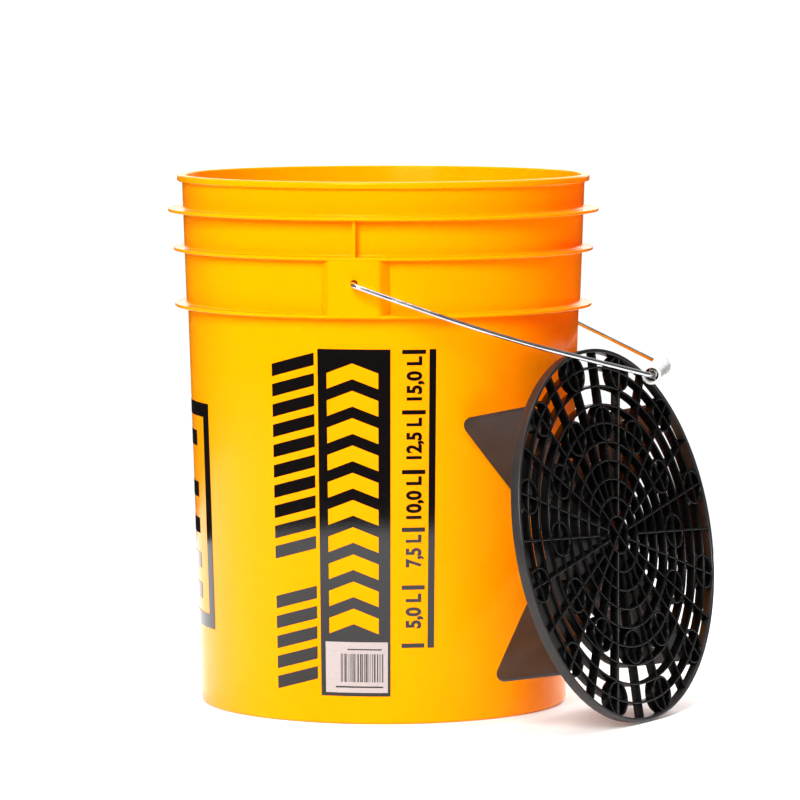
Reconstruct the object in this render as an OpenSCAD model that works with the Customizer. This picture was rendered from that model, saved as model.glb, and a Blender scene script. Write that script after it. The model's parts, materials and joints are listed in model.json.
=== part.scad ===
// Wash bucket with a wire bail and a loose grit guard that leans on its side.
// Millimetres, +Z up. Origin: middle of the bucket's foot ring, on the floor. The ears lie on the Y axis.

/* [Bucket] */
// Height from the floor to the top of the lip
bucket_h = 380; // [300:1:420]
// Outer radius of the wall at the floor
base_r = 131.9; // [110:0.1:150]
// Outer radius of the wall just under the lowest ring
mid_r = 140.7; // [120:0.1:160]
// Outer radius of the wall just above the lowest ring
shoulder_r = 141.7; // [120:0.1:160]
// Outer radius of the wall just under the lip
top_r = 144.8; // [120:0.1:170]
// Wall thickness
wall_t = 2.4; // [1.5:0.1:4]
// Thickness of the floor
floor_t = 3; // [2:0.1:6]
// Height of the recess under the floor
foot_h = 4; // [2:0.5:12]
// Width of the foot ring that touches the ground
foot_w = 8; // [4:0.5:20]
// Outer radius of the lip
lip_r = 148.2; // [130:0.1:180]
// Height of the lip's upright edge
lip_h = 4.5; // [3:0.1:10]
// Thickness of each stiffening ring
ring_t = 2.2; // [1.5:0.1:4]
// Lower face of the three rings, lowest first
ring_z = [285.7, 325.9, 353.6]; // [200:0.1:400]
// Outer radius of the three rings, lowest first
ring_r = [149.8, 150.8, 154.8]; // [145:0.1:165]

/* [Ears] */
// Height of the bail's pivot above the floor
pivot_z = 310; // [250:1:360]
// Outer radius of the ear pad
ear_r = 150.5; // [140:0.1:160]
// Half the angle that an ear pad spans, in degrees
ear_half = 6.75; // [4:0.25:12]
// Thickness of the ear pad's outer skin
ear_t = 2.6; // [1.5:0.1:4]
// Radius of the hole that the wire turns in
ear_hole_r = 2.5; // [2:0.1:4]
// Thickness of the gusset over each ear
gusset_t = 2.4; // [1.5:0.1:5]

/* [Bail] */
// Radius of the wire
wire_r = 1.8; // [1.2:0.05:3]
// Distance from the pivot axis to the middle of the grip
bail_len = 209.3; // [180:0.1:240]
// Angle of the bail below the horizontal while it rests, in degrees
bail_rest = 19.5; // [0:0.1:45]
// Distance of the arm from the middle plane, next to the ear
arm_y = 163.6; // [156:0.1:175]
// Radius of the wide bend of each arm
arm_bend_r = 140; // [60:1:200]
// Angle between the arm and the pivot's plane next to the ear, in degrees
arm_in = 5.7; // [0:0.1:12]
// Angle between the arm and the pivot's plane next to the grip, in degrees
arm_out = 46; // [30:1:70]
// Length of the arm's straight run next to the ear
arm_run = 49; // [20:1:90]
// Radius of the bend next to the grip
grip_bend_r = 20; // [8:1:40]
// Radius of the small bends at the ear
ear_bend_r = 6; // [4:0.5:10]
// Radius of the bend in the hooked tip
tip_bend_r = 3.4; // [2.5:0.1:6]

/* [Grip] */
// Half the length of the grip
grip_half = 43; // [35:1:60]
// Outer radius of the grip's barrel
grip_r = 6.2; // [5:0.1:12]
// Outer radius of the grip's end flanges
flange_r = 7; // [5.5:0.1:14]
// Width of each end flange
flange_w = 3; // [1.5:0.1:8]
// Bore radius of the grip
grip_bore_r = 2.3; // [1.9:0.05:4]
// Wall of the grip's barrel and of its hub
grip_wall = 1.2; // [0.8:0.1:2.5]
// How deep the hub lies inside each end
grip_recess = 8; // [4:1:20]

/* [Grit guard] */
// Outer radius of the guard
guard_r = 132; // [110:0.5:150]
// Axial depth of the rim
rim_d = 7.1; // [5:0.1:15]
// Radial thickness of the rim
rim_t = 2.6; // [1.5:0.1:5]
// Step between the guard's rings
ring_step = 13.2; // [10:0.1:20]
// Thickness of the rings, the spokes and the tubes
rib_t = 1.4; // [1:0.1:3]
// How far the ribs lie behind the rim's front
rib_back = 0.4; // [0:0.1:3]
// Number of spokes
spokes = 24; // [16:8:32]
// Radius of the round tubes in the grille
tube_r = 13.2; // [8:0.1:20]
// Thickness of the four vanes
vane_t = 2.6; // [1.5:0.1:5]
// Whole depth of the guard at the vanes' outer feet
vane_h = 62.8; // [40:0.1:90]
// Whole depth of the guard on its axis
vane_mid = 55; // [40:0.1:90]
// Lean of the guard's face from upright, in degrees
guard_lean = 10.96; // [0:0.1:30]
// Compass direction that the guard's face looks towards, in degrees from +X
guard_az = -24.4; // [-90:0.1:90]
// Distance of the guard's front centre from the bucket's axis
guard_dist = 197.3; // [190:0.1:230]
// Compass direction of the guard's front centre from the bucket's axis, in degrees from +X
guard_at = -25; // [-90:0.1:90]
// Turn of the vanes about the guard's own axis, in degrees
vane_turn = 41.5; // [0:0.5:90]

/* [Label] */
// Lower edge of the label
label_z = 22.5; // [10:0.5:60]
// Height of the label
label_h = 35.8; // [20:0.1:60]
// Angle of the label's left and right edges from the near ear, in degrees
label_span = [-9.9, 9.0]; // [-20:0.1:20]
// Thickness of the label
label_t = 0.2; // [0.1:0.05:0.5]

/* [Part] */
// Which piece to draw

/* [Hidden] */
$fn = 96;
yellow = [0.98, 0.78, 0.02];
zinc = [0.72, 0.73, 0.75];
ivory = [0.93, 0.93, 0.90];
black = [0.05, 0.05, 0.055];
paper = [0.94, 0.92, 0.91];
low_slope = (mid_r - base_r) / ring_z[0];
high_slope = (top_r - shoulder_r) / (bucket_h - ring_z[0]);
lip_z = bucket_h - lip_h;
wall_mid_r = shoulder_r - wall_t / 2;
inner_floor = foot_h + floor_t;
guard_z = guard_r * cos(guard_lean) + rim_d * sin(guard_lean);
ear_end_s = ear_bend_r * (1 + sin(arm_in));
ear_end_y = arm_y - ear_bend_r * (1 - cos(arm_in));
arm_s0 = ear_end_s + arm_run * cos(arm_in);
arm_y0 = ear_end_y - arm_run * sin(arm_in);
arm_s1 = arm_s0 + arm_bend_r * (sin(arm_out) - sin(arm_in));
arm_y1 = arm_y0 - arm_bend_r * (cos(arm_in) - cos(arm_out));
arm_s2 = bail_len - grip_bend_r * (1 - sin(arm_out));
slant_len = (arm_s2 - arm_s1) / cos(arm_out);
arm_y2 = arm_y1 - slant_len * sin(arm_out);
arm_y3 = arm_y2 - grip_bend_r * cos(arm_out);
hook_gap = 2.9;
hook_y = ear_r - ear_t - hook_gap;
hook_len = 5;
run_lap = 0.3;
run_shy = 0.02;
web_t = 1;
foot_edge = 2.4;
lip_edge = 1.2;
lip_flare = 0.8;
floor_fillet = 5;
pocket_draft = 1.1;
vane_corner = 9.5;
vane_draft = 1.2;
vane_tip_r = guard_r - 1.1 - vane_draft;
vane_waist = [[100, -61.1], [60, -58.5]];

// Outer radius of the plain wall below the lowest ring
function low_r(z) = base_r + low_slope * z;

// Outer radius of the plain wall above the lowest ring
function high_r(z) = shoulder_r + high_slope * (z - ring_z[0]);

// Outside of the wall, the lip and the rings as a half section
module outer_section() {
    polygon([
        [0, 0],
        [base_r - foot_edge, 0],
        [low_r(foot_edge), foot_edge],
        [mid_r, ring_z[0]],
        [shoulder_r, ring_z[0] + ring_t],
        [high_r(lip_z - lip_flare), lip_z - lip_flare],
        [lip_r, lip_z],
        [lip_r, bucket_h - lip_edge],
        [lip_r - lip_edge, bucket_h],
        [0, bucket_h]
    ]);
    for (i = [0:2]) {
        translate([wall_mid_r, ring_z[i]]) square([ring_r[i] - wall_mid_r, ring_t]);
    }
}

// Inside of the bucket as a half section, open at the top
module inner_section() {
    floor_r = low_r(inner_floor) - wall_t;
    top = high_r(bucket_h) - wall_t;
    polygon([
        [0, inner_floor],
        [floor_r - floor_fillet, inner_floor],
        [floor_r - 0.3 * floor_fillet, inner_floor + 0.3 * floor_fillet],
        [low_r(inner_floor + floor_fillet) - wall_t, inner_floor + floor_fillet],
        [mid_r - wall_t, ring_z[0]],
        [shoulder_r - wall_t, ring_z[0] + 6],
        [top, bucket_h - lip_edge],
        [top + lip_edge, bucket_h],
        [top + lip_edge, bucket_h + 1],
        [0, bucket_h + 1]
    ]);
}

// A slice of a revolved band between two radii and two heights, centred on the near ear
module band(r0, r1, z0, z1, half) {
    rotate([0, 0, -90 - half]) rotate_extrude(angle = 2 * half)
        translate([r0, z0]) square([r1 - r0, z1 - z0]);
}

// One ear: a boxed pad between two rings, with a gusset up to the widest ring
module ear_solid() {
    band(wall_mid_r, ear_r, ring_z[0] + ring_t / 2, ring_z[1] + ring_t / 2, ear_half);
    translate([-gusset_t / 2, -ring_r[1], ring_z[1]])
        cube([gusset_t, ring_r[1] - wall_mid_r, ring_z[2] - ring_z[1] + ring_t / 2]);
}

// The pocket behind the ear's skin, open at the bottom, and the hole for the wire
module ear_pocket() {
    band(high_r(pivot_z), ear_r - ear_t, ring_z[0] - 1, ring_z[1] - ear_t, ear_half - pocket_draft);
    translate([0, -ear_r - 1, pivot_z]) rotate([-90, 0, 0]) cylinder(r = ear_hole_r, h = ear_t + 4);
}

module bucket_shell() {
    color(yellow) difference() {
        union() {
            rotate_extrude() outer_section();
            ear_solid();
            mirror([0, 1, 0]) ear_solid();
        }
        rotate_extrude() inner_section();
        translate([0, 0, -1]) cylinder(r = base_r - foot_edge - foot_w, h = foot_h + 1);
        ear_pocket();
        mirror([0, 1, 0]) ear_pocket();
    }
}

// A bent length of wire: centre line of radius r in the XY plane, from angle a0 to a0 + da
module wire_bend(r, a0, da) {
    rotate([0, 0, a0]) rotate_extrude(angle = da) translate([r, 0]) circle(r = wire_r);
}

// A straight length of wire from the origin towards angle a, let a little into its neighbours
module wire_run(len, a) {
    rotate([0, 0, a]) translate([-run_lap, 0, 0]) rotate([0, 90, 0])
        cylinder(r = wire_r - run_shy, h = len + 2 * run_lap);
}

// Half of the bail lying flat: the pivot axis is Y, the arm runs towards +X
module bail_half() {
    translate([tip_bend_r, hook_y, 0]) wire_run(hook_len, 0);
    translate([tip_bend_r, hook_y + tip_bend_r, 0]) wire_bend(tip_bend_r, 180, 90);
    translate([0, hook_y + tip_bend_r, 0]) wire_run(arm_y - ear_bend_r - hook_y - tip_bend_r, 90);
    translate([ear_bend_r, arm_y - ear_bend_r, 0]) wire_bend(ear_bend_r, 90 - arm_in, 90 + arm_in);
    translate([ear_end_s, ear_end_y, 0]) wire_run(arm_run, -arm_in);
    translate([arm_s0 - arm_bend_r * sin(arm_in), arm_y0 - arm_bend_r * cos(arm_in), 0])
        wire_bend(arm_bend_r, 90 - arm_out, arm_out - arm_in);
    translate([arm_s1, arm_y1, 0]) wire_run(slant_len, -arm_out);
    translate([bail_len - grip_bend_r, arm_y3, 0]) wire_bend(grip_bend_r, 0, 90 - arm_out);
}

// Puts a thing drawn in the flat bail's frame where the resting bail is
module bail_pose() {
    translate([0, 0, pivot_z]) rotate([0, bail_rest, 0]) children();
}

module bail_wire() {
    color(zinc) bail_pose() {
        bail_half();
        mirror([0, 1, 0]) bail_half();
        translate([bail_len, -arm_y3, 0]) wire_run(2 * arm_y3, 90);
    }
}

// Half section of the grip's barrel, with a flange at each end
module barrel_section() {
    inner_r = grip_r - grip_wall;
    translate([inner_r, -grip_half]) square([grip_wall, 2 * grip_half]);
    translate([inner_r, -grip_half]) square([flange_r - inner_r, flange_w]);
    translate([inner_r, grip_half - flange_w]) square([flange_r - inner_r, flange_w]);
}

// Cross section of the hub and its four webs
module hub_section() {
    difference() {
        intersection() {
            union() {
                circle(r = grip_bore_r + web_t);
                rotate(45) square([2 * grip_r, web_t], center = true);
                rotate(135) square([2 * grip_r, web_t], center = true);
            }
            circle(r = grip_r - grip_wall / 2);
        }
        circle(r = grip_bore_r);
    }
}

// A hollow barrel with flanges, and inside it a hub on four webs that turns on the wire
module hand_grip() {
    color(ivory) bail_pose() translate([bail_len, 0, 0]) rotate([-90, 0, 0]) {
        hub_half = grip_half - grip_recess;
        rotate_extrude() barrel_section();
        translate([0, 0, -hub_half]) linear_extrude(2 * hub_half) hub_section();
    }
}

// Puts a thing drawn in the guard's own frame, face up at Z = 0, where the guard leans
module guard_pose() {
    translate([guard_dist * cos(guard_at), guard_dist * sin(guard_at), guard_z])
        rotate([90 - guard_lean, 0, 90 + guard_az]) rotate([0, 0, vane_turn]) children();
}

// Rings, two circles of tubes, and spokes of which only four reach the middle, flat
module grille_pattern() {
    for (i = [1:9]) {
        difference() {
            circle(r = i * ring_step + rib_t / 2);
            circle(r = i * ring_step - rib_t / 2);
        }
    }
    for (i = [0:spokes - 1]) {
        start = i % (spokes / 4) == 0 ? 0 : ring_step * (1 + i % 2);
        rotate([0, 0, i * 360 / spokes]) translate([start, -rib_t / 2])
            square([guard_r - rim_t / 2 - start, rib_t]);
    }
    for (i = [0:11]) {
        rotate([0, 0, i * 30]) translate([9 * ring_step, 0]) difference() {
            circle(r = tube_r);
            circle(r = tube_r - rib_t);
        }
        rotate([0, 0, i * 30 + 15]) translate([6 * ring_step, 0]) difference() {
            circle(r = tube_r);
            circle(r = tube_r - rib_t);
        }
    }
}

module guard_grille() {
    color(black) guard_pose() {
        translate([0, 0, -rim_d]) linear_extrude(rim_d) difference() {
            circle(r = guard_r);
            circle(r = guard_r - rim_t);
        }
        translate([0, 0, -rim_d]) linear_extrude(rim_d - rib_back) intersection() {
            grille_pattern();
            circle(r = guard_r - rim_t / 2);
        }
    }
}

// One vane as a flat outline: radius along X, depth down -Y, with a rounded foot
module vane_outline() {
    polygon([
        [0, -rim_d],
        [vane_tip_r + vane_draft, -rim_d],
        [vane_tip_r, vane_corner - vane_h],
        [vane_tip_r - vane_corner, -vane_h],
        vane_waist[0],
        vane_waist[1],
        [0, -vane_mid]
    ]);
    translate([vane_tip_r - vane_corner, vane_corner - vane_h]) circle(r = vane_corner);
}

module guard_vanes() {
    color(black) guard_pose() {
        for (i = [0:3]) {
            rotate([0, 0, i * 90]) rotate([90, 0, 0]) translate([0, 0, -vane_t / 2])
                linear_extrude(vane_t) vane_outline();
        }
    }
}

module product_label() {
    label_top = label_z + label_h;
    color(paper) rotate([0, 0, label_span[0] - 90]) rotate_extrude(angle = label_span[1] - label_span[0])
        polygon([
            [low_r(label_z), label_z],
            [low_r(label_z) + label_t, label_z],
            [low_r(label_top) + label_t, label_top],
            [low_r(label_top), label_top]
        ]);
}

bucket_shell();
bail_wire();
hand_grip();
guard_grille();
guard_vanes();
product_label();
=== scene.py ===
"""Wash bucket with its bail and grit guard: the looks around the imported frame."""
import json
import math
import random

import bmesh
import bpy
from mathutils import Matrix, Vector


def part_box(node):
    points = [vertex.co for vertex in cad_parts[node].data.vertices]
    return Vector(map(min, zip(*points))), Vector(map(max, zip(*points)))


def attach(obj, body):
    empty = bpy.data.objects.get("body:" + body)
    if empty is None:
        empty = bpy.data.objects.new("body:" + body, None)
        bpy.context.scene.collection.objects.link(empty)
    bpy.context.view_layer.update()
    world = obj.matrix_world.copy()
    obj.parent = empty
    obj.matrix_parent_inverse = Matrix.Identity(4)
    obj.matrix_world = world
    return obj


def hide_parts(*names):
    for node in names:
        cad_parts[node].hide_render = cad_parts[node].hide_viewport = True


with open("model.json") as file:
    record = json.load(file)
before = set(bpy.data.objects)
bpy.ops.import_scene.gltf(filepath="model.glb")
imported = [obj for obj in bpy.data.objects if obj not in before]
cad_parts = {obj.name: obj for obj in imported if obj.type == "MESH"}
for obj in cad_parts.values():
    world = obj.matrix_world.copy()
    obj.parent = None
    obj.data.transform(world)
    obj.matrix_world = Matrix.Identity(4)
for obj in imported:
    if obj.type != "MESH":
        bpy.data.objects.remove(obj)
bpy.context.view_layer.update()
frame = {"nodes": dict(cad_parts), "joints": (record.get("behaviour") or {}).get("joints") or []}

# ---------------------------------------------------------------- sizes, in millimetres and degrees
MM = 0.001
JOINTS = {j["name"]: j for j in frame["joints"]}

# Bucket. The wall's outer radius at the floor, under and over the lowest ring, and at the top
BUCKET_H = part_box("bucket_shell")[1].z / MM
BASE_R, MID_R, SHOULDER_R, TOP_R = 131.9, 140.7, 141.7, 144.8
WALL_T, FLOOR_T, FLOOR_FILLET = 2.4, 3.0, 6
FOOT_H, FOOT_W, FOOT_EDGE = 4.0, 8.0, 2.4
BEAD_IN, BEAD_OUT, BEAD_H = 56, 61, 1.2
LIP_R, LIP_H, LIP_FLARE = 148.2, 4.5, 0.8
RING_T, RING_EDGE, RING_ROOT = 2.2, 0.55, 1.4
RING_Z = (285.7, 325.9, 353.6)
RING_R = (149.8, 150.8, 154.8)
AROUND = 288

# Ears. The lap is how far a pad or gusset is let into the ring above or below it
PIVOT_Z = JOINTS["bail_swing"]["pos_m"][2] / MM
EAR_R, EAR_HALF, EAR_T = 150.5, 6.75, 2.6
EAR_TOE, EAR_HEEL = 9, 7.5
EAR_STEP, EAR_LAP = 2.5, 0.6
EAR_HOLE_R, HOLE_DEPTH, HOLE_FLARE = 2.5, 5, 0.5
POCKET_DRAFT, POCKET_ROOF, POCKET_BELOW = 1.1, 2.4, 2
GUSSET_ROOT, GUSSET_SIDE, GUSSET_FACE = 1.3, 1.1, 0.7
GUSSET_EDGE, GUSSET_LIFT = 0.4, 1.2

# Bail and grip
WIRE_R, WIRE_SIDES = 1.8, 20
GRIP_POS = Vector(JOINTS["grip_roll"]["pos_m"]) / MM
BAIL_REST = math.atan2(PIVOT_Z - GRIP_POS.z, GRIP_POS.x)
BAIL_LEN = math.hypot(PIVOT_Z - GRIP_POS.z, GRIP_POS.x)
ARM_Y, ARM_RUN, ARM_BEND_R = 163.6, 49.0, 140.0
ARM_IN, ARM_OUT = math.radians(5.7), math.radians(46)
GRIP_BEND_R, EAR_BEND_R, TIP_BEND_R = 20.0, 6.0, 3.4
HOOK_LEN, HOOK_GAP = 5.0, 2.9
TIP_BEVEL, TIP_SHARE = 0.5, 0.62
GRIP_HALF, GRIP_R, FLANGE_R, FLANGE_W = 43.0, 6.2, 7.0, 3.0
GRIP_BORE_R, GRIP_WALL, GRIP_RECESS = 2.3, 1.2, 8.0
HUB_WALL, WEB_T, WEB_LAP = 1, 1, 0.5

# Grit guard. TUBE_R reaches the middle of a tube's wall
GUARD_R, RIM_D, RIM_T = 132.0, 7.1, 2.6
RINGS, RING_STEP, SPOKES = 9, 13.2, 24
RIB_T, RIB_BACK, RIB_DRAFT = 1.4, 0.4, 0.7
TUBES, TUBE_R, RIM_CLEAR = 12, 11.8, 0.8
VANE_T, VANE_H, VANE_MID = 2.6, 62.8, 55.0
VANE_GAP, VANE_DRAFT, VANE_CORNER, VANE_EDGE = 1.1, 1.2, 9.5, 0.5
VANE_WAIST = ((100, -61.1), (60, -58.5))
VANE_CENTRE = Vector((65, -32))
GUARD_LEAN, GUARD_AZ, GUARD_AT = math.radians(10.96), math.radians(-24.4), math.radians(-25)
GUARD_DIST, VANE_TURN = 197.3, math.radians(41.5)

# Prints: angles from the near ear in degrees, heights above the floor
PRINT_BACK, PRINT_FACE = -0.02, 0.1
PRINT_LOW, PRINT_HIGH = 20, 263.8
COLUMN = (-26.2, -12.5)
COLUMN_GAP = (100, 112)
BAR_SHARE, BAR_SLANT = 0.62, 9
PANEL, WINDOW, WINDOW_Z = (-11.4, 9.8), (-8.7, 6.3), (64, 254)
CHEVRONS, CHEVRON_T, CHEVRON_RISE = 10, 11, 7
SCALE, SCALE_LOW, TICK, TICK_HALF = (21, 23), 54, (13.1, 20), 1.5
TICKS = (262, 219.8, 178, 137.5, 96.8, 55.8)
FIGURE_AT, FIGURE_H = 16.5, 10.5
FIGURES = (("15,0 L", 243.5, 31), ("12,5 L", 201.5, 29), ("10,0 L", 160, 30), ("7,5 L", 122.5, 23),
           ("5,0 L", 80.2, 24.5))
BOX, BOX_Z, BOX_SIDE, BOX_EDGE = (-122, -56.2), (57.5, 219), 4.2, 10
BOX_BARS, BOX_BAR_H, BOX_BAR_Z = (-111, -67.5), 11, (77, 99, 124, 150, 187)
PRINT_STEP = 1.25

# Marks on the label
LABEL_T = 0.2
CODE, CODE_Z = (-5.2, 7.6), (30, 50)
RULES = ((-3.2, 7.2, 52.6, 53.5), (-6.8, 7.6, 26, 27.1))

FLOOR_R = 930.0


def wall_radius(z):
    """Outer radius of the plain wall at a height."""
    if z <= RING_Z[0]:
        return BASE_R + (MID_R - BASE_R) * z / RING_Z[0]
    return SHOULDER_R + (TOP_R - SHOULDER_R) * (z - RING_Z[0]) / (BUCKET_H - RING_Z[0])


# ---------------------------------------------------------------- mesh helpers
def new_object(name, bm, materials, body, sharp=32):
    """Turns a mesh in millimetres into a smooth-shaded piece that rides on a body."""
    bmesh.ops.recalc_face_normals(bm, faces=bm.faces)
    mesh = bpy.data.meshes.new(name)
    bm.to_mesh(mesh)
    bm.free()
    mesh.transform(Matrix.Scale(MM, 4))
    mesh.shade_smooth()
    mesh.set_sharp_from_angle(angle=math.radians(sharp))
    for m in materials:
        mesh.materials.append(m)
    obj = bpy.data.objects.new(name, mesh)
    bpy.context.scene.collection.objects.link(obj)
    if body:
        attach(obj, body)
    return obj


def rounded(points, steps=5):
    """An outline whose corners (x, y, radius) are turned into arcs."""
    out = []
    n = len(points)
    for i, (x, y, radius) in enumerate(points):
        here = Vector((x, y))
        if radius <= 0:
            out.append(here)
            continue
        before = (Vector(points[i - 1][:2]) - here).normalized()
        after = (Vector(points[(i + 1) % n][:2]) - here).normalized()
        half = before.angle(after) / 2
        reach = radius / math.tan(half)
        centre = here + (before + after).normalized() * (radius / math.sin(half))
        start, end = here + before * reach - centre, here + after * reach - centre
        turn = start.angle_signed(end)
        for k in range(steps + 1):
            a = -turn * k / steps
            out.append(centre + Matrix.Rotation(a, 2) @ start)
    return out


def revolve(bm, outline, segments, closed=False, to_world=Matrix.Identity(4)):
    """Turns a (radius, height) outline about Z. Points on the axis become one vertex."""
    rings = []
    for p in outline:
        if abs(p[0]) < 1e-6:
            rings.append([bm.verts.new(to_world @ Vector((0, 0, p[1])))])
            continue
        ring = []
        for k in range(segments):
            a = 2 * math.pi * k / segments
            ring.append(bm.verts.new(to_world @ Vector((p[0] * math.cos(a), p[0] * math.sin(a), p[1]))))
        rings.append(ring)
    pairs = list(zip(rings, rings[1:] + (rings[:1] if closed else [])))
    for low, high in pairs[:len(rings) if closed else len(rings) - 1]:
        for k in range(segments):
            m = (k + 1) % segments
            corners = [low[k % len(low)], low[m % len(low)], high[m % len(high)], high[k % len(high)]]
            distinct = list(dict.fromkeys(corners))
            if len(distinct) >= 3:
                bm.faces.new(distinct)


def sweep(bm, rings, closed):
    """Skins a list of section rings. An open sweep gets a cap at each end."""
    made = [[bm.verts.new(p) for p in ring] for ring in rings]
    n = len(made[0])
    last = len(made) if closed else len(made) - 1
    for i in range(last):
        a, b = made[i], made[(i + 1) % len(made)]
        for k in range(n):
            bm.faces.new((a[k], a[(k + 1) % n], b[(k + 1) % n], b[k]))
    if not closed:
        bm.faces.new(list(reversed(made[0])))
        bm.faces.new(made[-1])


def wrapped_prism(bm, outline, z_low, z_high, side):
    """A prism along Z whose (across, radius) outline is wrapped round the bucket, at the near or far ear."""
    rings = []
    for z in (z_low, z_high):
        ring = []
        for across, radius in outline:
            a = across / EAR_R
            ring.append(Vector((radius * math.sin(a), side * radius * math.cos(a), z)))
        rings.append(ring)
    sweep(bm, rings, closed=False)


def boolean(obj, tool, operation):
    """Applies an exact boolean and throws the tool away."""
    mod = obj.modifiers.new("cut", "BOOLEAN")
    mod.object = tool
    mod.operation = operation
    mod.solver = "EXACT"
    dg = bpy.context.evaluated_depsgraph_get()
    made = bpy.data.meshes.new_from_object(obj.evaluated_get(dg))
    obj.modifiers.clear()
    old = obj.data
    made.name = old.name
    obj.data = made
    bpy.data.meshes.remove(old)
    bpy.data.objects.remove(tool)


# ---------------------------------------------------------------- materials
def material(name, color, roughness, metallic=0.0, specular=0.5):
    """A principled material and its nodes, ready for detail."""
    mat = bpy.data.materials.new(name)
    mat.use_nodes = True
    nodes, links = mat.node_tree.nodes, mat.node_tree.links
    shader = nodes["Principled BSDF"]
    shader.inputs["Base Color"].default_value = (*color, 1)
    shader.inputs["Roughness"].default_value = roughness
    shader.inputs["Metallic"].default_value = metallic
    shader.inputs["Specular IOR Level"].default_value = specular
    return mat, nodes, links, shader


def noise(nodes, links, scale, detail=3.0, stretch=(1, 1, 1)):
    """Object-space noise, stretched along the axes."""
    coords = nodes.new("ShaderNodeTexCoord")
    mapping = nodes.new("ShaderNodeMapping")
    mapping.inputs["Scale"].default_value = stretch
    texture = nodes.new("ShaderNodeTexNoise")
    texture.inputs["Scale"].default_value = scale
    texture.inputs["Detail"].default_value = detail
    links.new(coords.outputs["Object"], mapping.inputs["Vector"])
    links.new(mapping.outputs["Vector"], texture.inputs["Vector"])
    return texture.outputs["Fac"]


def vary(nodes, links, value, low, high, socket):
    """Drives a socket between two numbers with a 0 to 1 value."""
    spread = nodes.new("ShaderNodeMapRange")
    spread.inputs["From Min"].default_value = 0.3
    spread.inputs["From Max"].default_value = 0.7
    spread.inputs["To Min"].default_value = low
    spread.inputs["To Max"].default_value = high
    links.new(value, spread.inputs["Value"])
    links.new(spread.outputs["Result"], socket)


def tint(nodes, links, value, dark, light, socket):
    """Mixes two colours with a 0 to 1 value."""
    ramp = nodes.new("ShaderNodeValToRGB")
    ramp.color_ramp.elements[0].position = 0.35
    ramp.color_ramp.elements[1].position = 0.65
    ramp.color_ramp.elements[0].color = (*dark, 1)
    ramp.color_ramp.elements[1].color = (*light, 1)
    links.new(value, ramp.inputs["Fac"])
    links.new(ramp.outputs["Color"], socket)


def bump(nodes, links, shader, layers):
    """Chains bump layers of (value, strength, distance) into the shader's normal."""
    normal = None
    for value, strength, distance in layers:
        node = nodes.new("ShaderNodeBump")
        node.inputs["Strength"].default_value = strength
        node.inputs["Distance"].default_value = distance
        links.new(value, node.inputs["Height"])
        if normal:
            links.new(normal, node.inputs["Normal"])
        normal = node.outputs["Normal"]
    links.new(normal, shader.inputs["Normal"])


def bucket_plastic():
    mat, nodes, links, shader = material("bucket_plastic", (1.0, 0.32, 0.0), 0.17, specular=0.2)
    shader.inputs["Specular Tint"].default_value = (1.0, 0.55, 0.1, 1)
    shader.inputs["Subsurface Weight"].default_value = 0.25
    shader.inputs["Subsurface Radius"].default_value = (1.0, 0.2, 0.05)
    shader.inputs["Subsurface Scale"].default_value = 0.006
    flow = noise(nodes, links, 9, 2, (1, 1, 0.25))
    tint(nodes, links, flow, (0.98, 0.31, 0.0), (1.0, 0.33, 0.0), shader.inputs["Base Color"])
    vary(nodes, links, noise(nodes, links, 60, 4, (1, 1, 0.3)), 0.14, 0.21, shader.inputs["Roughness"])
    grain = noise(nodes, links, 900, 3)
    waves = noise(nodes, links, 14, 1, (1, 1, 0.5))
    bump(nodes, links, shader, [(waves, 0.25, 0.0006), (grain, 0.12, 0.00012)])
    return mat


def ink():
    mat, nodes, links, shader = material("black_ink", (0.004, 0.003, 0.003), 0.05, specular=0.5)
    vary(nodes, links, noise(nodes, links, 140, 4), 0.04, 0.07, shader.inputs["Roughness"])
    bump(nodes, links, shader, [(noise(nodes, links, 1500, 2), 0.1, 0.00006)])
    return mat


def paper():
    mat, nodes, links, shader = material("label_paper", (0.4, 0.34, 0.33), 0.45, specular=0.3)
    fibre = noise(nodes, links, 700, 5)
    tint(nodes, links, fibre, (0.38, 0.322, 0.312), (0.42, 0.358, 0.347), shader.inputs["Base Color"])
    bump(nodes, links, shader, [(fibre, 0.15, 0.00005)])
    return mat


def zinc():
    mat, nodes, links, shader = material("zinc_wire", (0.6, 0.6, 0.62), 0.16, metallic=1.0)
    drawn = noise(nodes, links, 500, 4, (0.2, 0.2, 1))
    tint(nodes, links, drawn, (0.48, 0.48, 0.5), (0.68, 0.68, 0.7), shader.inputs["Base Color"])
    vary(nodes, links, drawn, 0.1, 0.24, shader.inputs["Roughness"])
    bump(nodes, links, shader, [(drawn, 0.2, 0.00005)])
    return mat


def grip_plastic():
    mat, nodes, links, shader = material("grip_plastic", (0.62, 0.62, 0.61), 0.32)
    shader.inputs["Subsurface Weight"].default_value = 0.25
    shader.inputs["Subsurface Scale"].default_value = 0.004
    cloud = noise(nodes, links, 120, 3)
    tint(nodes, links, cloud, (0.58, 0.58, 0.57), (0.66, 0.66, 0.65), shader.inputs["Base Color"])
    bump(nodes, links, shader, [(noise(nodes, links, 1200, 2), 0.12, 0.00008)])
    return mat


def guard_plastic(name, shade, specular, roughness):
    """Satin black polypropylene in two shades of one plastic: the darker copy on the thin ribs is painted
    shade, and the lighter copy goes on the broad vanes and rim.
    """
    mat, nodes, links, shader = material(name, (shade, shade, shade), roughness, specular=specular)
    cloud = noise(nodes, links, 30, 4)
    dark, light = shade * 0.7, shade * 1.4
    tint(nodes, links, cloud, (dark, dark * 0.88, dark * 0.88), (light, light * 0.88, light * 0.88),
         shader.inputs["Base Color"])
    vary(nodes, links, noise(nodes, links, 90, 4), roughness * 0.85, roughness * 1.2,
         shader.inputs["Roughness"])
    bump(nodes, links, shader, [(noise(nodes, links, 2200, 3), 0.2, 0.00008)])
    return mat


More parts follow.
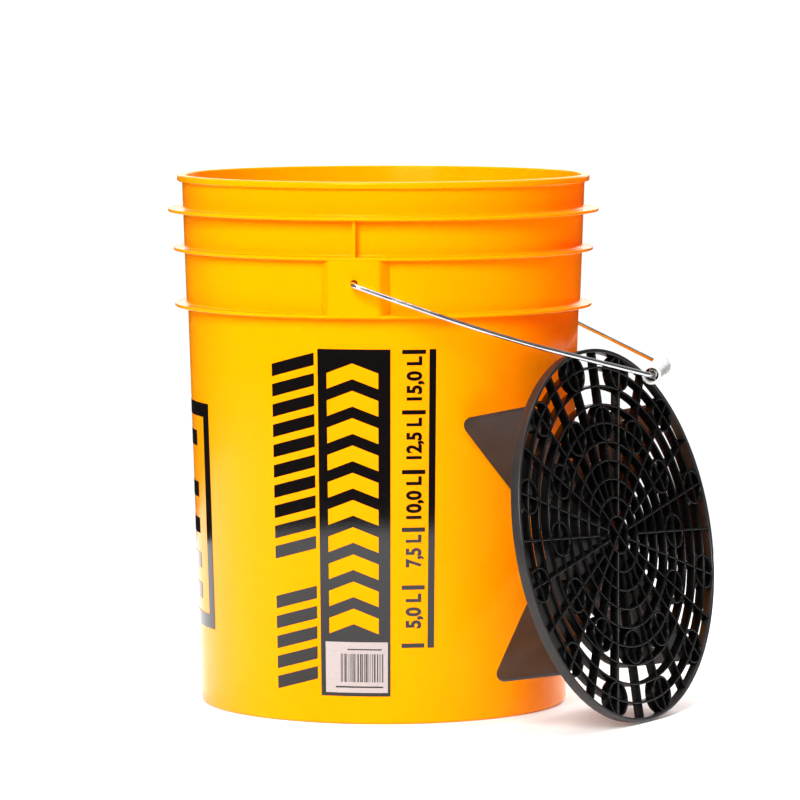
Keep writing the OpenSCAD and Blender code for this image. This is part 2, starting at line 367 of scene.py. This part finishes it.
PLASTIC, INK, PAPER, ZINC = bucket_plastic(), ink(), paper(), zinc()
GRIP = grip_plastic()
GUARD = guard_plastic("guard_plastic", 0.014, 0.38, 0.36)
# The ribs' copy is darker than the plain guard plastic: painted shade of the deep grille cells.
RIBS_PAINTED_SHADE = guard_plastic("guard_ribs_painted_shade", 0.0015, 0.2, 0.24)


# ---------------------------------------------------------------- bucket
def bucket_outline():
    """Half section of the wall, rings, lip, floor and foot, from the underside to the inner floor."""
    lip_z = BUCKET_H - LIP_H
    bead_z = FOOT_H - BEAD_H
    foot_in = BASE_R - FOOT_EDGE - FOOT_W
    points = [(0, FOOT_H, 0), (BEAD_IN, FOOT_H, 0.4), (BEAD_IN + 1, bead_z, 0.4), (BEAD_OUT - 1, bead_z, 0.4),
              (BEAD_OUT, FOOT_H, 0.4), (foot_in - 1, FOOT_H, 1), (foot_in, 0, 0.8),
              (BASE_R - 0.2, 0, FOOT_EDGE)]
    for i, (z, r) in enumerate(zip(RING_Z, RING_R)):
        below = wall_radius(z) if i else MID_R
        above = wall_radius(z + RING_T) if i else SHOULDER_R
        points += [(below, z, RING_ROOT), (r, z, RING_EDGE), (r, z + RING_T, RING_EDGE),
                   (above, z + RING_T, RING_ROOT)]
    inner_top = wall_radius(BUCKET_H) - WALL_T
    points += [(wall_radius(lip_z), lip_z - LIP_FLARE, 0.8), (LIP_R, lip_z, 0.9), (LIP_R, BUCKET_H, 1.5),
               (inner_top, BUCKET_H, 1.2), (SHOULDER_R - WALL_T, RING_Z[0] + FLOOR_FILLET, FLOOR_FILLET),
               (MID_R - WALL_T, RING_Z[0], FLOOR_FILLET), (BASE_R - WALL_T, FOOT_H + FLOOR_T, FLOOR_FILLET),
               (0, FOOT_H + FLOOR_T, 0)]
    return rounded(points)


def ear_outline():
    """(across, radius) outline of an ear pad with drafted, rounded sides."""
    half = math.radians(EAR_HALF) * EAR_R
    root = SHOULDER_R - 1
    left = [(-half - EAR_TOE, root, 0), (-half - EAR_HEEL, SHOULDER_R + 1, 4), (-half, EAR_R, 5)]
    points = rounded(left + [(-x, r, fillet) for x, r, fillet in reversed(left)])
    out = []
    for a, b in zip(points, points[1:] + points[:1]):
        cuts = max(1, int((b - a).length / EAR_STEP))
        out += [a.lerp(b, k / cuts) for k in range(cuts)]
    return out


def arc_block(half_deg, r_low, r_high):
    """(across, radius) outline of a plain sector."""
    half = math.radians(half_deg) * EAR_R
    across = [half * (k / 6 - 1) for k in range(13)]
    return [Vector((a, r_high)) for a in across] + [Vector((a, r_low)) for a in reversed(across)]


def bucket():
    bm = bmesh.new()
    revolve(bm, bucket_outline(), AROUND)
    shell = new_object("bucket", bm, [PLASTIC], None)
    added = bmesh.new()
    pockets = bmesh.new()
    holes = bmesh.new()
    root, face = SHOULDER_R - 1, RING_R[1]
    side_r = face - GUSSET_EDGE
    gusset = [Vector(p) for p in ((-GUSSET_ROOT, root), (-GUSSET_SIDE, side_r), (-GUSSET_FACE, face),
                                  (GUSSET_FACE, face), (GUSSET_SIDE, side_r), (GUSSET_ROOT, root))]
    wide = EAR_HOLE_R + HOLE_FLARE
    hole = [(0, 0), (EAR_HOLE_R, 0), (EAR_HOLE_R, HOLE_DEPTH - 0.4), (wide, HOLE_DEPTH + 0.1),
            (wide, HOLE_DEPTH + 4), (0, HOLE_DEPTH + 4)]
    for side in (-1, 1):
        wrapped_prism(added, ear_outline(), RING_Z[0] + EAR_LAP, RING_Z[1] + EAR_LAP, side)
        wrapped_prism(added, gusset, RING_Z[1] + GUSSET_LIFT, RING_Z[2] + EAR_LAP, side)
        inside = arc_block(EAR_HALF - POCKET_DRAFT, wall_radius(PIVOT_Z), EAR_R - EAR_T)
        wrapped_prism(pockets, inside, RING_Z[0] - POCKET_BELOW, RING_Z[1] - POCKET_ROOF, side)
        start = Matrix.Translation((0, side * (EAR_R - HOLE_DEPTH), PIVOT_Z))
        revolve(holes, hole, 40, to_world=start @ Matrix.Rotation(-side * math.pi / 2, 4, "X"))
    boolean(shell, new_object("added", added, [PLASTIC], None), "UNION")
    boolean(shell, new_object("pockets", pockets, [PLASTIC], None), "DIFFERENCE")
    boolean(shell, new_object("holes", holes, [PLASTIC], None), "DIFFERENCE")
    shell.data.shade_smooth()
    shell.data.set_sharp_from_angle(angle=math.radians(32))
    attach(shell, "bucket")
    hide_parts("bucket_shell")


# ---------------------------------------------------------------- prints, as (angle, height) shapes
def rect(a0, a1, z0, z1):
    return [(a0, z0), (a1, z0), (a1, z1), (a0, z1)]


def slice_flat(bm, spot, normal):
    """Cuts flat shapes along a line without parting them."""
    bmesh.ops.bisect_plane(bm, geom=bm.verts[:] + bm.edges[:] + bm.faces[:], plane_co=spot, plane_no=normal)


def wrap_shapes(bm, low, high, levels):
    """Bends flat shapes drawn in (angle, height) round the wall, from one lift above it to another."""
    angles = [v.co.x for v in bm.verts]
    first, last = math.floor(min(angles) / PRINT_STEP), math.ceil(max(angles) / PRINT_STEP)
    for k in range(first, last + 1):
        slice_flat(bm, (k * PRINT_STEP, 0, 0), (1, 0, 0))
    for z in levels:
        slice_flat(bm, (0, z, 0), (0, 1, 0))
    bmesh.ops.remove_doubles(bm, verts=bm.verts, dist=0.001)
    grown = bmesh.ops.extrude_face_region(bm, geom=bm.faces[:])
    raised = {g for g in grown["geom"] if isinstance(g, bmesh.types.BMVert)}
    for v in bm.verts:
        lift = high if v in raised else low
        r = wall_radius(v.co.y) + lift
        a = math.radians(v.co.x)
        v.co = Vector((r * math.sin(a), -r * math.cos(a), v.co.y))


def printed(name, shapes, low=PRINT_BACK, high=PRINT_FACE, text=(), levels=()):
    """One inked piece of closed shapes and flat text meshes. Shapes that meet are joined at the levels."""
    bm = bmesh.new()
    for shape in shapes:
        bm.faces.new([bm.verts.new((a, z, 0)) for a, z in shape])
    for mesh in text:
        bm.from_mesh(mesh)
    wrap_shapes(bm, low, high, levels)
    new_object(name, bm, [INK], "bucket")


def figure(words, angle, z_mid, height, span):
    """Upright figures turned to read upwards, as a flat mesh in (angle, height)."""
    curve = bpy.data.curves.new("figures", "FONT")
    curve.body = words
    curve.offset = 0.04
    curve.resolution_u = 4
    obj = bpy.data.objects.new("figures", curve)
    bpy.context.scene.collection.objects.link(obj)
    dg = bpy.context.evaluated_depsgraph_get()
    mesh = bpy.data.meshes.new_from_object(obj.evaluated_get(dg))
    bpy.data.objects.remove(obj)
    xs = [v.co.x for v in mesh.vertices]
    ys = [v.co.y for v in mesh.vertices]
    per_degree = math.radians(1) * wall_radius(z_mid)
    for v in mesh.vertices:
        along = (v.co.x - min(xs)) / (max(xs) - min(xs)) - 0.5
        up = (v.co.y - max(0, min(ys))) / max(ys)
        v.co = Vector((angle - height * (up - 0.5) / per_degree, z_mid + along * span, 0))
    return mesh


def panel(name, outer, inner, count, thick, rise):
    """An inked panel, with evenly spaced chevrons left open in it so that the wall shows."""
    a_min, a_max, z_min, z_max = outer
    a0, a1, z0, z1 = inner
    mid = (a0 + a1) / 2
    pitch = (z1 - z0 - thick - rise) / (count - 1)
    lows = [z0 + k * pitch for k in range(count)]
    highs = [z + thick for z in lows]
    shapes = [rect(a_min, a0, z_min, z_max), rect(a1, a_max, z_min, z_max)]
    shapes.append([(a0, z_min), (a1, z_min), (a1, z0), (mid, z0 + rise), (a0, z0)])
    for below, above in zip(highs, lows[1:]):
        shapes.append([(a0, below), (mid, below + rise), (mid, above + rise), (a0, above)])
        shapes.append([(mid, below + rise), (a1, below), (a1, above), (mid, above + rise)])
    top = highs[-1]
    shapes.append([(a0, top), (mid, top + rise), (a1, top), (a1, z_max), (a0, z_max)])
    printed(name, shapes, levels=lows + highs)


def slanted(a0, a1, z0, z1, count, share, slant):
    """Slanted bars, evenly spaced between two heights."""
    pitch = (z1 - z0 - slant) / count
    thick = pitch * share
    out = []
    for k in range(count):
        z = z0 + (k + (1 - share) / 2) * pitch
        out.append([(a0, z), (a1, z + slant), (a1, z + slant + thick), (a0, z + thick)])
    return out


def prints():
    gap_low, gap_high = COLUMN_GAP
    column = slanted(*COLUMN, PRINT_LOW, gap_low, 5, BAR_SHARE, BAR_SLANT)
    column += slanted(*COLUMN, gap_high, PRINT_HIGH, 10, BAR_SHARE, BAR_SLANT)
    printed("printed_column", column)
    scale = [rect(*SCALE, SCALE_LOW, PRINT_HIGH)]
    scale += [rect(*TICK, z - TICK_HALF, z + TICK_HALF) for z in TICKS]
    figures = [figure(words, FIGURE_AT, z, FIGURE_H, span) for words, z, span in FIGURES]
    printed("printed_scale", scale, text=figures)
    left, right = BOX
    low, high = BOX_Z
    inner_low, inner_high = low + BOX_EDGE, high - BOX_EDGE
    box = [rect(left, right, low, inner_low), rect(left, right, inner_high, high)]
    box += [rect(a, a + BOX_SIDE, inner_low, inner_high) for a in (right - BOX_SIDE, left)]
    box += [rect(*BOX_BARS, z, z + BOX_BAR_H) for z in BOX_BAR_Z]
    printed("printed_box", box, levels=(inner_low, inner_high))
    outer, inner = (*PANEL, PRINT_LOW, PRINT_HIGH), (*WINDOW, *WINDOW_Z)
    panel("printed_panel", outer, inner, CHEVRONS, CHEVRON_T, CHEVRON_RISE)


def label_marks():
    """Plain bars and two ruled lines on the label, with no figures."""
    draw = random.Random(7)
    shapes = [rect(*rule) for rule in RULES]
    a, end = CODE
    while a < end:
        width = draw.choice((0.12, 0.2, 0.34))
        shapes.append(rect(a, a + width, *CODE_Z))
        a += width + draw.choice((0.14, 0.2, 0.36))
    printed("label_marks", shapes, LABEL_T - 0.01, LABEL_T + 0.04)
    label = frame["nodes"]["product_label"].data
    label.materials.clear()
    label.materials.append(PAPER)


# ---------------------------------------------------------------- bail and grip
def arc(cx, cy, radius, a0, a1, steps):
    """Points of an arc in the plane of the flat bail, angles in radians."""
    return [Vector((cx + radius * math.cos(a0 + (a1 - a0) * k / steps),
                    cy + radius * math.sin(a0 + (a1 - a0) * k / steps), 0)) for k in range(steps + 1)]


def bail_half_path():
    """Centre line from the hooked tip to the grip's end: the pivot lies along Y, the arm along +X."""
    hook_y = EAR_R - EAR_T - HOOK_GAP
    ear_end = Vector((EAR_BEND_R * (1 + math.sin(ARM_IN)), ARM_Y - EAR_BEND_R * (1 - math.cos(ARM_IN)), 0))
    wide = ear_end + Vector((math.cos(ARM_IN), -math.sin(ARM_IN), 0)) * ARM_RUN
    wide_c = wide - Vector((math.sin(ARM_IN), math.cos(ARM_IN), 0)) * ARM_BEND_R
    slant = wide_c + Vector((math.sin(ARM_OUT), math.cos(ARM_OUT), 0)) * ARM_BEND_R
    s_end = BAIL_LEN - GRIP_BEND_R * (1 - math.sin(ARM_OUT))
    y_end = slant.y - (s_end - slant.x) * math.tan(ARM_OUT)
    grip_y = y_end - GRIP_BEND_R * math.cos(ARM_OUT)
    quarter = math.pi / 2
    path = [Vector((TIP_BEND_R + HOOK_LEN, hook_y, 0))]
    path += arc(TIP_BEND_R, hook_y + TIP_BEND_R, TIP_BEND_R, -quarter, -2 * quarter, 10)
    path += arc(EAR_BEND_R, ARM_Y - EAR_BEND_R, EAR_BEND_R, math.pi, quarter - ARM_IN, 16)
    path += arc(wide_c.x, wide_c.y, ARM_BEND_R, quarter - ARM_IN, quarter - ARM_OUT, 40)
    path += arc(BAIL_LEN - GRIP_BEND_R, grip_y, GRIP_BEND_R, quarter - ARM_OUT, 0, 14)
    return path


def bail_matrix():
    return Matrix.Translation((0, 0, PIVOT_Z)) @ Matrix.Rotation(BAIL_REST, 4, "Y")


def bail():
    half = bail_half_path()
    path = half + [Vector((p.x, -p.y, 0)) for p in reversed(half)]
    place = bail_matrix()
    rings = []
    for i, p in enumerate(path):
        ahead = path[min(i + 1, len(path) - 1)] - path[max(i - 1, 0)]
        ahead.normalize()
        across = Vector((-ahead.y, ahead.x, 0))
        if i in (0, len(path) - 1):
            inward = ahead if i == 0 else -ahead
            tip = [(p, TIP_SHARE), (p + inward * TIP_BEVEL, 1.0)]
            tip = tip if i == 0 else tip[::-1]
        else:
            tip = [(p, 1.0)]
        for centre, share in tip:
            ring = []
            for k in range(WIRE_SIDES):
                a = 2 * math.pi * k / WIRE_SIDES
                spot = centre + (across * math.cos(a) + Vector((0, 0, math.sin(a)))) * WIRE_R * share
                ring.append(place @ spot)
            rings.append(ring)
    bm = bmesh.new()
    sweep(bm, rings, closed=False)
    obj = new_object("bail", bm, [ZINC], "bail", sharp=50)
    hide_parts("bail_wire")


def grip():
    """Hollow barrel with flanges, and a hub on four webs inside it."""
    along_y = Matrix.Rotation(-math.pi / 2, 4, "X")
    place = Matrix.Translation(GRIP_POS) @ Matrix.Rotation(BAIL_REST, 4, "Y") @ along_y
    inner = GRIP_R - GRIP_WALL
    outline = []
    for end in (-1, 1):
        edge = [(inner, end * GRIP_HALF, 0.4), (FLANGE_R, end * GRIP_HALF, 0.9),
                (FLANGE_R, end * (GRIP_HALF - FLANGE_W), 0.5), (GRIP_R, end * (GRIP_HALF - FLANGE_W), 0.6)]
        outline += edge if end < 0 else edge[::-1]
    bm = bmesh.new()
    revolve(bm, rounded(outline), 64, closed=True, to_world=place)
    hub = GRIP_HALF - GRIP_RECESS
    hub_r = GRIP_BORE_R + HUB_WALL
    hub_outline = rounded([(GRIP_BORE_R, -hub, 0.2), (hub_r, -hub, 0.3), (hub_r, hub, 0.3),
                           (GRIP_BORE_R, hub, 0.2)])
    revolve(bm, hub_outline, 40, closed=True, to_world=place)
    web_in, web_out, half = GRIP_BORE_R + 0.4, inner + WEB_LAP, WEB_T / 2
    corners = [(web_in, -half), (web_out, -half), (web_out, half), (web_in, half)]
    for k in range(4):
        turn = place @ Matrix.Rotation(math.pi / 4 + k * math.pi / 2, 4, "Z")
        ends = [[turn @ Vector((x, y, z)) for x, y in corners] for z in (0.4 - hub, hub - 0.4)]
        sweep(bm, ends, closed=False)
    obj = new_object("grip", bm, [GRIP], "grip")
    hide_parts("hand_grip")


# ---------------------------------------------------------------- grit guard
def guard_matrix():
    """The guard's own frame: its face is at Z = 0 and looks along +Z, the first vane lies along X."""
    z = GUARD_R * math.cos(GUARD_LEAN) + RIM_D * math.sin(GUARD_LEAN)
    spot = Vector((GUARD_DIST * math.cos(GUARD_AT), GUARD_DIST * math.sin(GUARD_AT), z))
    aim = Matrix.Rotation(math.pi / 2 + GUARD_AZ, 4, "Z") @ Matrix.Rotation(math.pi / 2 - GUARD_LEAN, 4, "X")
    return Matrix.Translation(spot) @ aim @ Matrix.Rotation(VANE_TURN, 4, "Z")


def rib_section(thick):
    """(across, depth) section of a rib, which tapers towards its rounded front edge."""
    back, front = thick / 2 + RIB_DRAFT, thick / 2 - 0.05
    return rounded([(-back, -RIM_D, 0.15), (back, -RIM_D, 0.15), (front, -RIB_BACK, 0.4),
                    (-front, -RIB_BACK, 0.4)], 3)


def ring_rib(bm, place, radius, section, segments):
    rings = []
    for k in range(segments):
        a = 2 * math.pi * k / segments
        rings.append([place @ Vector(((radius + p[0]) * math.cos(a), (radius + p[0]) * math.sin(a), p[1]))
                      for p in section])
    sweep(bm, rings, closed=True)


def grille():
    place = guard_matrix()
    bm = bmesh.new()
    rib = rib_section(RIB_T)
    for k in range(1, RINGS + 1):
        ring_rib(bm, place, k * RING_STEP, rib, 48 + 16 * k)
    for k in range(SPOKES):
        turn = place @ Matrix.Rotation(2 * math.pi * k / SPOKES, 4, "Z")
        start = 0 if k % (SPOKES // 4) == 0 else RING_STEP * (1 + k % 2)
        ends = [[turn @ Vector((x, p[0], p[1])) for p in rib] for x in (start, GUARD_R - RIM_T / 2)]
        sweep(bm, ends, closed=False)
    for k in range(TUBES):
        for radius, turn in ((9 * RING_STEP - RIM_CLEAR, 0), (6 * RING_STEP, 0.5)):
            a = 2 * math.pi * (k + turn) / TUBES
            spot = Matrix.Translation((radius * math.cos(a), radius * math.sin(a), 0))
            ring_rib(bm, place @ spot, TUBE_R, rib, 48)
    ribs = set(bm.faces)
    rim = rounded([(0, 0, 0.7), (-RIM_T, 0, 0.7), (-RIM_T, -RIM_D, 0.5), (0, -RIM_D, 0.5)], 4)
    ring_rib(bm, place, GUARD_R, rim, 256)
    # Ribs get the darker copy, which is painted shade; the rim gets the plain guard plastic.
    for face in bm.faces:
        face.material_index = 0 if face in ribs else 1
    obj = new_object("grille", bm, [RIBS_PAINTED_SHADE, GUARD], "grit_guard")
    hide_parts("guard_grille")


def vanes():
    """Four radial plates with rounded feet and bevelled edges."""
    place = guard_matrix()
    root, tip = 0.2 - RIM_D, GUARD_R - VANE_GAP
    waist = [(x, y, 0) for x, y in VANE_WAIST]
    outline = rounded([(0, root, 0), (tip, root, 0), (tip - VANE_DRAFT, -VANE_H, VANE_CORNER)] + waist
                      + [(0, -VANE_MID, 0)], 10)
    bm = bmesh.new()
    half = VANE_T / 2
    inner = half - VANE_EDGE
    for k in range(4):
        turn = place @ Matrix.Rotation(k * math.pi / 2, 4, "Z")
        rings = []
        for across, inset in ((-half, VANE_EDGE), (-inner, 0), (inner, 0), (half, VANE_EDGE)):
            ring = []
            for p in outline:
                q = p + (VANE_CENTRE - p).normalized() * inset if p.x > 0 else p
                ring.append(turn @ Vector((q.x, across, q.y)))
            rings.append(ring)
        sweep(bm, rings, closed=False)
    obj = new_object("vanes", bm, [GUARD], "grit_guard", sharp=25)
    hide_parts("guard_vanes")


# ---------------------------------------------------------------- stage, light and camera
def stage():
    bm = bmesh.new()
    bmesh.ops.create_circle(bm, cap_ends=True, segments=128, radius=FLOOR_R)
    floor = new_object("floor", bm, [], None)
    mat, nodes, links, shader = material("pale_floor", (0.86, 0.86, 0.86), 0.7, specular=0.2)
    shader.inputs["Emission Color"].default_value = (1, 1, 1, 1)
    shader.inputs["Emission Strength"].default_value = 0.11
    vary(nodes, links, noise(nodes, links, 3, 2), 0.66, 0.74, shader.inputs["Roughness"])
    floor.data.materials.append(mat)


def area_light(name, spot, target, size, power):
    data = bpy.data.lights.new(name, "AREA")
    data.shape = "RECTANGLE"
    data.size, data.size_y = size
    data.energy = power
    obj = bpy.data.objects.new(name, data)
    bpy.context.scene.collection.objects.link(obj)
    obj.location = spot
    obj.rotation_euler = (Vector(target) - Vector(spot)).to_track_quat("-Z", "Y").to_euler()
    return obj


def gradient(nodes, links, value, start, end, first, last):
    """A grey ramp over a value."""
    ramp = nodes.new("ShaderNodeValToRGB")
    links.new(value, ramp.inputs["Fac"])
    low, high = ramp.color_ramp.elements
    low.position, high.position = start, end
    low.color, high.color = (first, first, first, 1), (last, last, last, 1)
    return ramp.outputs["Color"]


def mixed(nodes, links, how, first, second):
    """Two colours put together by a blend type."""
    node = nodes.new("ShaderNodeMix")
    node.data_type = "RGBA"
    node.blend_type = how
    node.inputs["Factor"].default_value = 1.0
    links.new(first, node.inputs["A"])
    links.new(second, node.inputs["B"])
    return node.outputs["Result"]


def surroundings(nodes, links):
    """The room for light and reflections: dark below the horizon, pale above it, with a white backdrop."""
    coords = nodes.new("ShaderNodeTexCoord")
    split = nodes.new("ShaderNodeSeparateXYZ")
    links.new(coords.outputs["Generated"], split.inputs["Vector"])
    room = gradient(nodes, links, split.outputs["Z"], 0.0, 0.5, 0.01, 0.17)
    backdrop = gradient(nodes, links, split.outputs["Y"], 0.86, 0.95, 0.0, 1.0)
    above = gradient(nodes, links, split.outputs["Z"], 0.0, 0.04, 0.0, 1.0)
    standing = mixed(nodes, links, "MULTIPLY", backdrop, above)
    return mixed(nodes, links, "LIGHTEN", room, standing)


def lights():
    world = bpy.data.worlds.new("studio")
    bpy.context.scene.world = world
    world.use_nodes = True
    nodes, links = world.node_tree.nodes, world.node_tree.links
    soft = nodes["Background"]
    links.new(surroundings(nodes, links), soft.inputs["Color"])
    soft.inputs["Strength"].default_value = 1.6
    seen = nodes.new("ShaderNodeBackground")
    seen.inputs["Color"].default_value = (1, 1, 1, 1)
    seen.inputs["Strength"].default_value = 1.05
    path = nodes.new("ShaderNodeLightPath")
    mix = nodes.new("ShaderNodeMixShader")
    links.new(path.outputs["Is Camera Ray"], mix.inputs["Fac"])
    links.new(soft.outputs["Background"], mix.inputs[1])
    links.new(seen.outputs["Background"], mix.inputs[2])
    links.new(mix.outputs["Shader"], nodes["World Output"].inputs["Surface"])
    top = bpy.data.lights.new("top", "SUN")
    top.energy = 1.9
    top.angle = math.radians(40)
    sun = bpy.data.objects.new("top", top)
    bpy.context.scene.collection.objects.link(sun)
    area_light("key", (-0.5, -2.6, 1.6), (0, 0, 0.2), (1.4, 1.4), 135)
    left = area_light("left", (-2.2, 0.2, 0.8), (0, 0, 0.2), (0.7, 1.6), 11)
    warm = area_light("warm", (2.2, -1.3, 0.6), (0, 0, 0.2), (1.2, 1.2), 32)
    warm.data.color = (1.0, 0.05, 0.0)
    back = area_light("back", (0.7, 2.5, 1.7), (0, 0, 0.2), (1.4, 1.4), 110)
    for fill in (left, warm, back):
        fill.visible_glossy = False
    # The warm light stands for what shines through the translucent wall, so only the bucket receives it
    through_wall = bpy.data.collections.new("through_wall")
    through_wall.objects.link(bpy.data.objects["bucket"])
    warm.light_linking.receiver_collection = through_wall


def camera():
    """A long lens a little to the left of the near ear, looking slightly down."""
    azimuth, distance, height = math.radians(7.8), 3.5965, 0.5291
    pitch, yaw, roll = 0.0867, 0.0033, -0.0008
    ahead = Vector((math.sin(yaw) * math.cos(pitch), math.cos(yaw) * math.cos(pitch), -math.sin(pitch)))
    right = Vector((math.cos(yaw), -math.sin(yaw), 0))
    up = right.cross(ahead)
    side = right * math.cos(roll) + up * math.sin(roll)
    over = up * math.cos(roll) - right * math.sin(roll)
    axes = Matrix((side, over, -ahead)).transposed().to_4x4()
    data = bpy.data.cameras.new("camera")
    data.lens = 225.05
    data.sensor_width = 36
    data.clip_start, data.clip_end = 0.1, 100
    obj = bpy.data.objects.new("camera", data)
    bpy.context.scene.collection.objects.link(obj)
    obj.matrix_world = Matrix.Rotation(azimuth, 4, "Z") @ Matrix.Translation((0, -distance, height)) @ axes
    bpy.context.scene.camera = obj


camera()
bucket()
prints()
label_marks()
bail()
grip()
grille()
vanes()
stage()
lights()
bpy.context.scene.view_settings.view_transform = "Standard"
